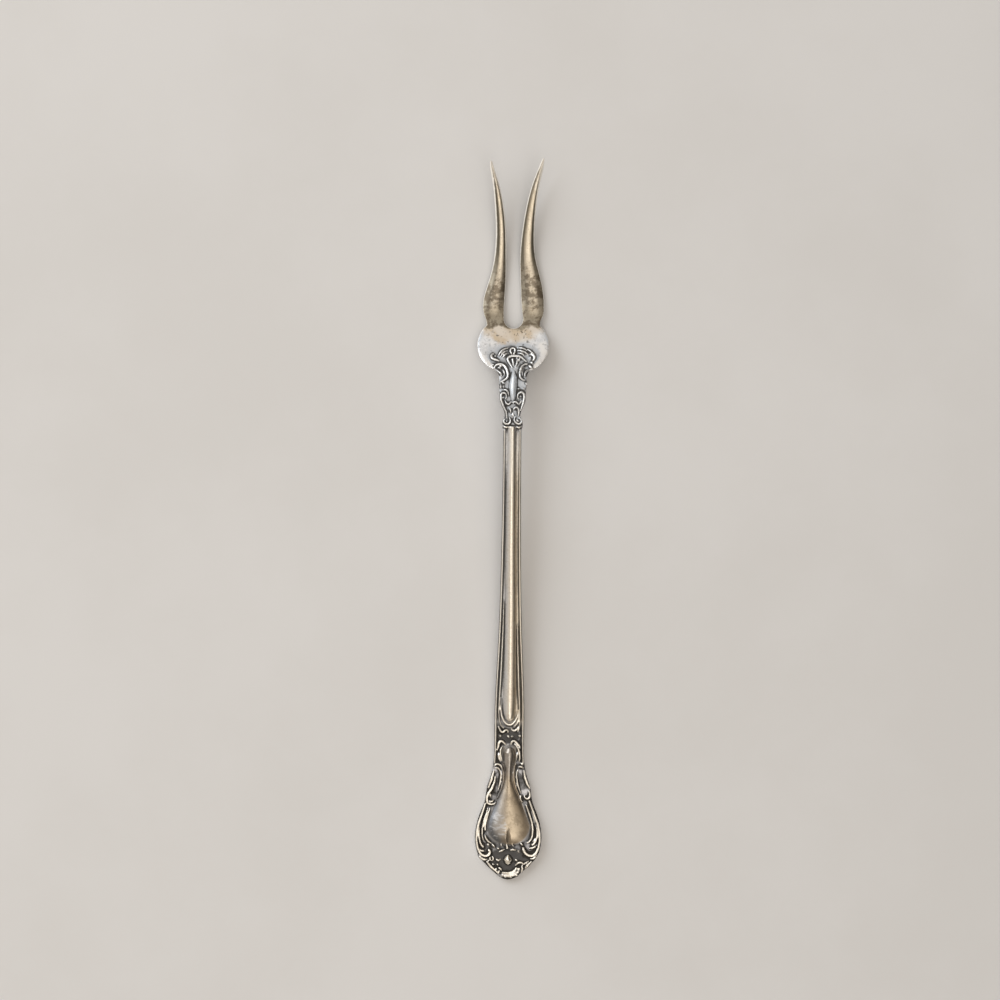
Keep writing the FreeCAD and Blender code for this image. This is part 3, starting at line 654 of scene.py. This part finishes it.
@dataclass(frozen=True)
class TineCoat(Coat):
    """The tines: golden with drawn tarnish, painted shade on the flanks, and stained roots."""

    tips: Border = Border(66.0 * MM, 74.0 * MM)
    gold_share: float = 0.85
    tips_loss: float = 0.5
    grain_share: float = 0.35
    flank_shade: Border = Border(0.49, 0.54, 0.04)
    shaded: Border = Border(0.29, 0.44, 0.1)
    left_lean: float = 0.07
    shaded_share: float = 0.75
    shaded_left: float = 0.25
    flank_shade_share: float = 0.9
    roots_loss: float = 0.35
    spots: Pattern = Pattern(800.0, 5.0, 0.65)
    spots_drift: float = 0.3
    spots_gain: float = 0.10
    crotch_line: Band = Band(39.0 * MM, 41.0 * MM, 0.5 * MM)
    roots_line: Band = Band(45.5 * MM, 50.5 * MM, 2.0 * MM)
    stain: Border = Border(0.49, 0.65)
    stain_share: float = 0.15
    stain_gain: float = 0.6

    def over(self, face: Face, body: Wire) -> Wire:
        """Lay the coat over the metal.

        Args:
            face: what it reads of the face.
            body: the colour below it.

        Returns:
            The colour with the coat.
        """
        graph, tones = face.graph, face.tones
        gold = self.gold_share - self.tips_loss * graph.step(face.along, self.tips)
        body = graph.blend(face.tines * gold, body, tones.gold)
        drawn = face.warm | face.grain * face.tines * self.grain_share
        body = graph.blend(drawn, body, tones.tarnish)
        # Painted shade: the flanks darken where the tine falls from its crest and where it faces
        # left.
        body = graph.blend(face.tines * self._flank_shade(face), body, tones.flank_shade)
        return graph.blend(face.roots * self._stains(face), body, tones.stain)

    def _flank_shade(self, face: Face) -> Wire:
        """Return how much painted shade the flanks get.

        Args:
            face: what it reads of the face.

        Returns:
            The share of the flanks' painted shade.
        """
        graph = face.graph
        # Painted shade where the tine falls away from its crest.
        flank_shade = 1 - graph.step(face.relief, self.flank_shade, face.drawn)
        # Painted shade on the flanks that face left; the left tine gets more.
        lean = face.lean - self.left_lean * face.left
        shaded = 1 - graph.step(lean, self.shaded, face.drawn)
        shaded = shaded * (self.shaded_share + self.shaded_left * face.left)
        return (flank_shade | shaded) * (self.flank_shade_share - self.roots_loss * face.roots)

    def _stains(self, face: Face) -> Wire:
        """Return how dark the stains of the roots are.

        Args:
            face: what it reads of the face.

        Returns:
            The share of the stains' colour.
        """
        graph = face.graph
        lines = graph.band(face.along, self.crotch_line) | graph.band(face.along, self.roots_line)
        spots = graph.stray(graph.noise(self.spots), face.broad, self.spots_drift)
        spots = graph.step(spots + self.spots_gain * lines, self.stain)
        return self.stain_share + self.stain_gain * spots


@dataclass(frozen=True)
class EdgeCoat(Coat):
    """Painted highlight on the head's rounded rims, a slate ring around the drop and the pale
    bluish spindle.
    """

    rim_highlight_share: float = 0.95
    ring: Band = Band(1.1, 1.9, 0.2)
    ring_end: Border = Border(-60.0 * MM, -56.0 * MM)
    ring_share: float = 0.75

    def over(self, face: Face, body: Wire) -> Wire:
        """Lay the coat over the metal.

        Args:
            face: what it reads of the face.
            body: the colour below it.

        Returns:
            The colour with the coat.
        """
        graph, tones = face.graph, face.tones
        # Painted highlight: the rounded rims are made pale, as if they caught the light.
        body = graph.blend(face.rim_highlight * self.rim_highlight_share, body, tones.rim_highlight)
        ring = graph.band(face.reach, self.ring) * (1 - graph.step(face.along, self.ring_end))
        body = graph.blend(ring * (1 - face.crest) * self.ring_share, body, tones.slate)
        return graph.blend(face.spindle, body, tones.frost)


@dataclass(frozen=True)
class Recesses:
    """Black recesses beside the ridges, in the sunk fields and in the pits."""

    groove: Border = Border(0.54, 0.70, 0.1)
    drop_loss: float = 0.6
    slim_loss: float = 0.75
    deep: Border = Border(0.54, 0.78, 0.1)
    deep_share: float = 0.75
    deep_loss: float = 0.55
    bud_field: Patch = Patch(0.0, -70.9 * MM, 5.4 * MM, 2.9 * MM)
    link_field: Patch = Patch(0.0, -45.0 * MM, 2.6 * MM, 1.9 * MM)
    pool: Border = Border(0.44, 0.50)
    pool_share: float = 0.8
    pool_cloud: float = 0.2
    holes: Pattern = Pattern(1500.0, 2.0, 0.5)
    hole: Border = Border(0.59, 0.67, 0.3)
    pitted: Patch = Patch(-0.2 * MM, 38.2 * MM, 4.4 * MM, 3.2 * MM)
    neck_share: float = 0.4
    pits_share: float = 0.65

    def mask(self, face: Face) -> Wire:
        """Return how dark the recesses are.

        Args:
            face: what they read of the face.

        Returns:
            The share of the recesses' colour.
        """
        graph = face.graph
        lines = graph.step(face.groove, self.groove, face.speck) * (1 - self.drop_loss * face.drop)
        lines = lines * (1 - self.slim_loss * face.slim) | face.thin
        deep = graph.step(face.sunk, self.deep, face.cloud)
        deep = deep * (self.deep_share - self.deep_loss * face.slim) * (1 - face.drop)
        pools = face.patch(self.bud_field) | face.patch(self.link_field)
        pools = pools * graph.step(face.groove, self.pool)
        pools = pools * (self.pool_share + self.pool_cloud * face.cloud)
        pits = graph.step(graph.noise(self.holes), self.hole, face.cloud)
        pits = pits * (face.patch(self.pitted) | self.neck_share * face.neck)
        pits = pits * (1 - face.spindle)
        return lines | deep | pools | pits * self.pits_share


@dataclass(frozen=True)
class WornSilverAndPaintedLight:
    """Old silver: bright worn ridges, grey fields, black recesses and brown tarnish, with painted
    highlights, reflections and shade in places.
    """

    tones: Tones = Tones()
    zones: Zones = Zones()
    coats: tuple[Coat, ...] = (ShankCoat(), DropCoat(), ReliefCoat(), SpottedCoat(),
                               CrotchCoat(), TineCoat(), EdgeCoat())
    recesses: Recesses = Recesses()
    cool_clouds: Border = Border(0.35, 0.65)
    rough: float = 0.30
    rough_cloud: float = 0.14
    rough_warm: float = 0.08
    rough_dark: float = 0.25
    rough_crest: float = 0.06
    dark_dulls: float = 0.45
    rim_highlight_dulls: float = 0.92
    frost_dulls: float = 0.55
    scratches: Pattern = Pattern(5200.0, 2.0, 0.5, (1.0, 0.06, 1.0))
    bump_cloud: float = 0.5
    bump_speck: float = 0.3
    bump_scratches: float = 0.2
    bump_strength: float = 0.35
    bump_height: float = 0.06 * MM

    def material(self) -> bpy.types.Material:
        """Build the finish.

        Returns:
            The material.
        """
        graph = Graph("worn_silver")
        face = Face(graph, self.tones, self.zones)
        clouds = graph.step(face.cloud, self.cool_clouds)
        body = graph.blend(clouds, self.tones.plain, self.tones.cool)
        for coat in self.coats:
            body = coat.over(face, body)
        dark = self.recesses.mask(face)
        body = graph.blend(dark * (1 - face.rim_highlight), body, self.tones.recess)
        shader = graph.node("ShaderNodeBsdfPrincipled", {}, {
            "Base Color": body, "Roughness": self._roughness(face, dark),
            "Metallic": self._metallic(face, dark), "Normal": self._normal(face)})
        return graph.finish(shader)

    def _roughness(self, face: Face, dark: Wire) -> Wire:
        """Return the roughness.

        Args:
            face: what it reads of the face.
            dark: the mask of the recesses.

        Returns:
            The roughness.
        """
        rough = self.rough + self.rough_cloud * face.cloud + self.rough_warm * face.warm
        return rough + self.rough_dark * dark - self.rough_crest * face.crest

    def _metallic(self, face: Face, dark: Wire) -> Wire:
        """Return how metallic the surface is.

        Args:
            face: what it reads of the face.
            dark: the mask of the recesses.

        Returns:
            The share of bare metal.
        """
        # The rims' painted highlight is made less metallic, so it stays pale from every side.
        bare = 1 - self.dark_dulls * dark - self.rim_highlight_dulls * face.rim_highlight
        return bare - self.frost_dulls * face.spindle

    def _normal(self, face: Face) -> Wire:
        """Return the fine bumps of the surface.

        Args:
            face: what it reads of the face.

        Returns:
            The normal.
        """
        height = self.bump_cloud * face.cloud + self.bump_speck * face.speck
        height = height + self.bump_scratches * face.graph.noise(self.scratches)
        bump = face.graph.node("ShaderNodeBump", {}, {
            "Strength": self.bump_strength, "Distance": self.bump_height, "Height": height})
        return Wire(face.graph, bump.outputs[0])


@dataclass(frozen=True)
class PaleStone:
    """A plain pale floor of warm grey stone."""

    light: Colour = (0.69, 0.69, 0.70)
    shade: Colour = (0.635, 0.63, 0.63)
    clouds: Pattern = Pattern(14.0, 6.0, 0.6)
    cloud: Border = Border(0.35, 0.65)
    cloud_share: float = 0.5
    rough: float = 0.75
    specular: float = 0.25

    def material(self) -> bpy.types.Material:
        """Build the finish.

        Returns:
            The material.
        """
        graph = Graph("pale_stone")
        share = graph.step(graph.noise(self.clouds), self.cloud) * self.cloud_share
        colour = graph.blend(share, self.light, self.shade)
        shader = graph.node("ShaderNodeBsdfPrincipled", {}, {
            "Base Color": colour, "Roughness": self.rough, "Specular IOR Level": self.specular})
        return graph.finish(shader)


@dataclass(frozen=True)
class DarkCard:
    """Plain dark card that darkens what one side of the object reflects."""

    tone: Colour = (0.02, 0.018, 0.016)
    rough: float = 0.9

    def material(self) -> bpy.types.Material:
        """Build the finish.

        Returns:
            The material.
        """
        graph = Graph("dark_card")
        shader = graph.node("ShaderNodeBsdfPrincipled", {}, {
            "Base Color": (*self.tone, 1.0), "Roughness": self.rough})
        return graph.finish(shader)


@dataclass
class ReliefMap:
    """Heights of the ornamented face in small square cells, -1 where there is no face."""

    heights: np.ndarray
    low: np.ndarray
    cell: float
    blur_rounds: int = 2
    least_weight: float = 1e-6
    margin: float = 1.001

    def mean_near(self, places: np.ndarray, reach: float) -> np.ndarray:
        """Return the mean height of the face around each place.

        Args:
            places: points on the face.
            reach: half the width that is averaged.

        Returns:
            The mean heights.
        """
        steps = max(1, round(reach / self.cell))
        weight = (self.heights >= 0).astype(float)
        total = self.heights * weight
        for _ in range(self.blur_rounds):
            total, weight = self._blur(total, steps), self._blur(weight, steps)
        mean = total / np.maximum(weight, self.least_weight)
        spot = (places[:, :2] - self.low) / self.cell - 0.5
        spot = np.clip(spot, 0, np.array(mean.shape) - self.margin)
        corner = np.floor(spot).astype(int)
        share = spot - corner
        x, y = corner[:, 0], corner[:, 1]
        left = mean[x, y] * (1 - share[:, 1]) + mean[x, y + 1] * share[:, 1]
        right = mean[x + 1, y] * (1 - share[:, 1]) + mean[x + 1, y + 1] * share[:, 1]
        return left * (1 - share[:, 0]) + right * share[:, 0]

    def _blur(self, values: np.ndarray, steps: int) -> np.ndarray:
        """Take running means along both axes.

        Args:
            values: the cells.
            steps: how many cells on either side are averaged.

        Returns:
            The blurred cells.
        """
        span = 2 * steps + 1
        for axis in (0, 1):
            edges = [(steps, steps) if turn == axis else (0, 0) for turn in (0, 1)]
            sums = np.cumsum(np.pad(values, edges), axis=axis)
            sums = np.insert(sums, 0, 0.0, axis=axis)
            ahead = np.take(sums, range(span, sums.shape[axis]), axis=axis)
            behind = np.take(sums, range(0, sums.shape[axis] - span), axis=axis)
            values = (ahead - behind) / span
        return values


@dataclass(frozen=True)
class Measure:
    """A point's depth below the face around it: its name, how far around, and its gain."""

    name: str
    reach: float
    gain: float


@dataclass
class SilverFork:
    """The fork itself, refined from its solid into soft struck relief."""

    node: str = "fork"
    merge_gap: float = 0.001 * MM
    work_scale: float = 100.0
    voxel: float = 0.085 * MM
    soften_rounds: int = 5
    soften_share: float = 0.5
    broad_reach: float = 0.3 * MM
    broad_step: float = 0.035 * MM
    broad_limit: float = 1.5
    broad_levels: int = 4
    broad_rounds: int = 120
    most_triangles: int = 185000
    cell: float = 0.1 * MM
    face_start: float = 0.1
    face_fade: float = 0.2
    measures: tuple[Measure, ...] = (
        Measure("relief", 1.6 * MM, -1.2), Measure("groove", 0.3 * MM, 4.0),
        Measure("sunk", 0.8 * MM, 2.0), Measure("outline", 0.2 * MM, 6.0))

    def build(self) -> bpy.types.Object:
        """Build the piece and put it on its body.

        Returns:
            The finished piece.
        """
        piece = self._copy_solid()
        self._remesh(piece)
        self._smooth_broad(piece, self._survey(piece))
        survey = self._survey(piece)
        self._thin(piece)
        self._store_relief(piece, survey)
        piece.name = "silver_fork"
        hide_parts(self.node)
        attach(piece, "root")
        return piece

    def _copy_solid(self) -> bpy.types.Object:
        """Copy the solid's mesh and merge its loose triangles.

        Returns:
            The copy, alone in the selection.
        """
        bpy.ops.object.select_all(action="DESELECT")
        solid = bpy.data.objects[self.node]
        piece = bpy.data.objects.new("silver_fork", solid.data.copy())
        bpy.context.collection.objects.link(piece)
        piece.data.materials.clear()
        bpy.context.view_layer.objects.active = piece
        piece.select_set(True)
        bpy.ops.object.mode_set(mode="EDIT")
        bpy.ops.mesh.select_all(action="SELECT")
        bpy.ops.mesh.remove_doubles(threshold=self.merge_gap)
        bpy.ops.object.mode_set(mode="OBJECT")
        return piece

    def _remesh(self, piece: bpy.types.Object) -> None:
        """Remesh the copy at a larger scale and round its edges.

        Args:
            piece: the merged copy.
        """
        piece.data.transform(Matrix.Scale(self.work_scale, 4))
        self._modify(piece, "REMESH", mode="VOXEL", voxel_size=self.voxel * self.work_scale)
        self._modify(piece, "SMOOTH", factor=self.soften_share, iterations=self.soften_rounds)
        self._modify(piece, "TRIANGULATE")
        piece.data.transform(Matrix.Scale(1 / self.work_scale, 4))
        piece.data.update()

    def _smooth_broad(self, piece: bpy.types.Object, survey: ReliefMap) -> None:
        """Smooth the broad crowned faces and leave the fine ridges as they are.

        Args:
            piece: the remeshed copy.
            survey: the heights of its face.
        """
        places, _ = self._points(piece)
        step = np.abs(places[:, 2] - survey.mean_near(places, self.broad_reach))
        share = np.clip(self.broad_limit - step / self.broad_step, 0, 1)
        levels = np.round(share * self.broad_levels).astype(int)
        group = piece.vertex_groups.new(name="broad")
        for level in range(1, self.broad_levels + 1):
            members = np.flatnonzero(levels == level).tolist()
            group.add(members, level / self.broad_levels, "REPLACE")
        self._modify(piece, "SMOOTH", factor=self.soften_share, iterations=self.broad_rounds,
                     vertex_group=group.name)
        bpy.ops.object.vertex_group_remove(all=True)

    def _thin(self, piece: bpy.types.Object) -> None:
        """Bring the number of triangles under its limit and shade them smooth.

        Args:
            piece: the remeshed copy.
        """
        share = min(1.0, self.most_triangles / len(piece.data.polygons))
        LOG.info("remeshed to %d triangles, kept share %.3f", len(piece.data.polygons), share)
        self._modify(piece, "DECIMATE", ratio=share)
        piece.data.update()
        bpy.ops.object.shade_smooth()

    def _modify(self, piece: bpy.types.Object, kind: str, **settings: "float | str") -> None:
        """Add one modifier and apply it.

        Args:
            piece: the active object.
            kind: type of the modifier.
            settings: its properties.
        """
        modifier = piece.modifiers.new(kind.lower(), kind)
        for name, value in settings.items():
            setattr(modifier, name, value)
        bpy.ops.object.modifier_apply(modifier=modifier.name)

    def _survey(self, piece: bpy.types.Object) -> ReliefMap:
        """Measure the height of the face in small cells.

        Args:
            piece: the finely remeshed copy, at its true size.

        Returns:
            The map of the relief.
        """
        places, normals = self._points(piece)
        low = places.min(0)[:2]
        size = np.ceil((places.max(0)[:2] - low) / self.cell).astype(int) + 1
        column = np.floor((places[:, :2] - low) / self.cell).astype(int)
        face = normals[:, 2] > self.face_start
        heights = np.full(size, -1.0)
        np.maximum.at(heights, (column[face, 0], column[face, 1]), places[face, 2])
        return ReliefMap(heights, low, self.cell)

    def _points(self, piece: bpy.types.Object) -> tuple[np.ndarray, np.ndarray]:
        """Read a mesh's points.

        Args:
            piece: the object.

        Returns:
            Their places and their normals.
        """
        count = len(piece.data.vertices)
        places, normals = np.empty(count * 3), np.empty(count * 3)
        piece.data.vertices.foreach_get("co", places)
        piece.data.vertices.foreach_get("normal", normals)
        return places.reshape(-1, 3), normals.reshape(-1, 3)

    def _store_relief(self, piece: bpy.types.Object, survey: ReliefMap) -> None:
        """Store how deep each point lies in the face around it, and how it leans.

        Args:
            piece: the refined mesh.
            survey: the heights of its face.
        """
        places, normals = self._points(piece)
        upward = normals[:, 2]
        face = np.clip((upward - self.face_start) / self.face_fade, 0, 1)
        for measure in self.measures:
            below = (survey.mean_near(places, measure.reach) - places[:, 2]) / MM
            values = np.clip(face * below * measure.gain, -1, 1) * 0.5 + 0.5
            self._attribute(piece, measure.name, values)
        self._attribute(piece, "steep", 1 - np.clip(upward, 0, 1))
        self._attribute(piece, "lean", normals[:, 0] * 0.5 + 0.5)

    def _attribute(self, piece: bpy.types.Object, name: str, values: np.ndarray) -> None:
        """Store one number for each point."""
        layer = piece.data.attributes.new(name, "FLOAT", "POINT")
        layer.data.foreach_set("value", values.astype(np.float32))

    def dress(self, piece: bpy.types.Object, finish: WornSilverAndPaintedLight) -> None:
        """Give the piece its finish.

        Args:
            piece: the fork.
            finish: its silver, with its painted light and shade.
        """
        piece.data.materials.append(finish.material())


class Lamp(Enum):
    """The lamps of the soft studio: name, place, sides in metres, watts and colour."""

    WINDOW = ("window", (-1.05, 0.85, 1.0), (1.3, 1.3), 14.5, (0.93, 0.97, 1.0))
    SKY_UP = ("sky_up", (0.08, 0.62, 1.1), (0.7, 0.9), 0.9, (0.96, 0.98, 1.0))
    SKY_LOW = ("sky_low", (0.22, -0.42, 1.12), (0.55, 1.1), 2.7, (1.0, 0.96, 0.90))


@dataclass
class Studio:
    """The floor, the dark card, the lamps, the world and the camera."""

    floor_side: float = 6.0
    flag_place: float = 0.34
    flag_height: float = 0.30
    flag_length: float = 0.9
    world_tone: Colour = (0.57, 0.505, 0.425)
    world_strength: float = 1.0
    frame_width: float = 208.6 * MM
    camera_height: float = 1.2
    camera_place: tuple[float, float] = (-2.42 * MM, 4.04 * MM)
    camera_turn: float = 0.59
    sensor: float = 36.0
    nearest: float = 0.01
    lamps: list[Lamp] = field(default_factory=lambda: list(Lamp))

    def build(self) -> None:
        """Build the whole studio around the object."""
        self._floor()
        self._flag()
        for lamp in self.lamps:
            self._lamp(*lamp.value)
        self._world()
        self._camera()

    def _floor(self) -> None:
        """Lay the floor under the object."""
        bpy.ops.object.select_all(action="DESELECT")
        bpy.ops.mesh.primitive_plane_add(size=self.floor_side, location=(0, 0, 0))
        floor = bpy.context.object
        floor.name = "floor"
        floor.data.materials.append(PaleStone().material())

    def _flag(self) -> None:
        """Stand a dark card beside the object, unseen and without a shadow."""
        bpy.ops.object.select_all(action="DESELECT")
        bpy.ops.mesh.primitive_plane_add(
            size=1.0, location=(self.flag_place, 0, self.flag_height / 2),
            rotation=(0, math.pi / 2, 0))
        flag = bpy.context.object
        flag.name = "flag"
        flag.scale = (self.flag_height, self.flag_length, 1.0)
        flag.data.materials.append(DarkCard().material())
        flag.visible_camera = False
        flag.visible_shadow = False

    def _lamp(self, name: str, place: Colour, sides: tuple[float, float], watts: float,
              colour: Colour) -> None:
        """Hang one flat lamp that faces the middle of the object.

        Args:
            name: name of the lamp.
            place: where it hangs, in metres.
            sides: its width and its length.
            watts: its power.
            colour: its colour.
        """
        data = bpy.data.lights.new(name, "AREA")
        data.shape = "RECTANGLE"
        data.size, data.size_y = sides
        data.energy = watts
        data.color = colour
        lamp = bpy.data.objects.new(name, data)
        lamp.location = place
        lamp.rotation_euler = (-Vector(place)).to_track_quat("-Z", "Y").to_euler()
        bpy.context.collection.objects.link(lamp)

    def _world(self) -> None:
        """Give the world its plain light."""
        world = bpy.data.worlds.new("studio")
        world.use_nodes = True
        background = world.node_tree.nodes["Background"]
        background.inputs["Color"].default_value = (*self.world_tone, 1.0)
        background.inputs["Strength"].default_value = self.world_strength
        bpy.context.scene.world = world

    def _camera(self) -> None:
        """Hang the camera straight above the object."""
        data = bpy.data.cameras.new("camera")
        data.sensor_width = self.sensor
        data.sensor_fit = "HORIZONTAL"
        data.lens = self.sensor * self.camera_height / self.frame_width
        data.clip_start = self.nearest
        camera = bpy.data.objects.new("camera", data)
        camera.location = (*self.camera_place, self.camera_height)
        camera.rotation_euler = (0, 0, math.radians(self.camera_turn))
        bpy.context.collection.objects.link(camera)
        bpy.context.scene.camera = camera


def main() -> None:
    """Build the dressed fork and its studio."""
    logging.basicConfig(level=logging.INFO, format="%(name)s: %(message)s")
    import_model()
    bpy.context.scene.view_settings.view_transform = "Standard"
    fork = SilverFork()
    piece = fork.build()
    fork.dress(piece, WornSilverAndPaintedLight())
    LOG.info("%s: %d triangles", piece.name, len(piece.data.polygons))
    Studio().build()


if __name__ == "__main__":
    main()
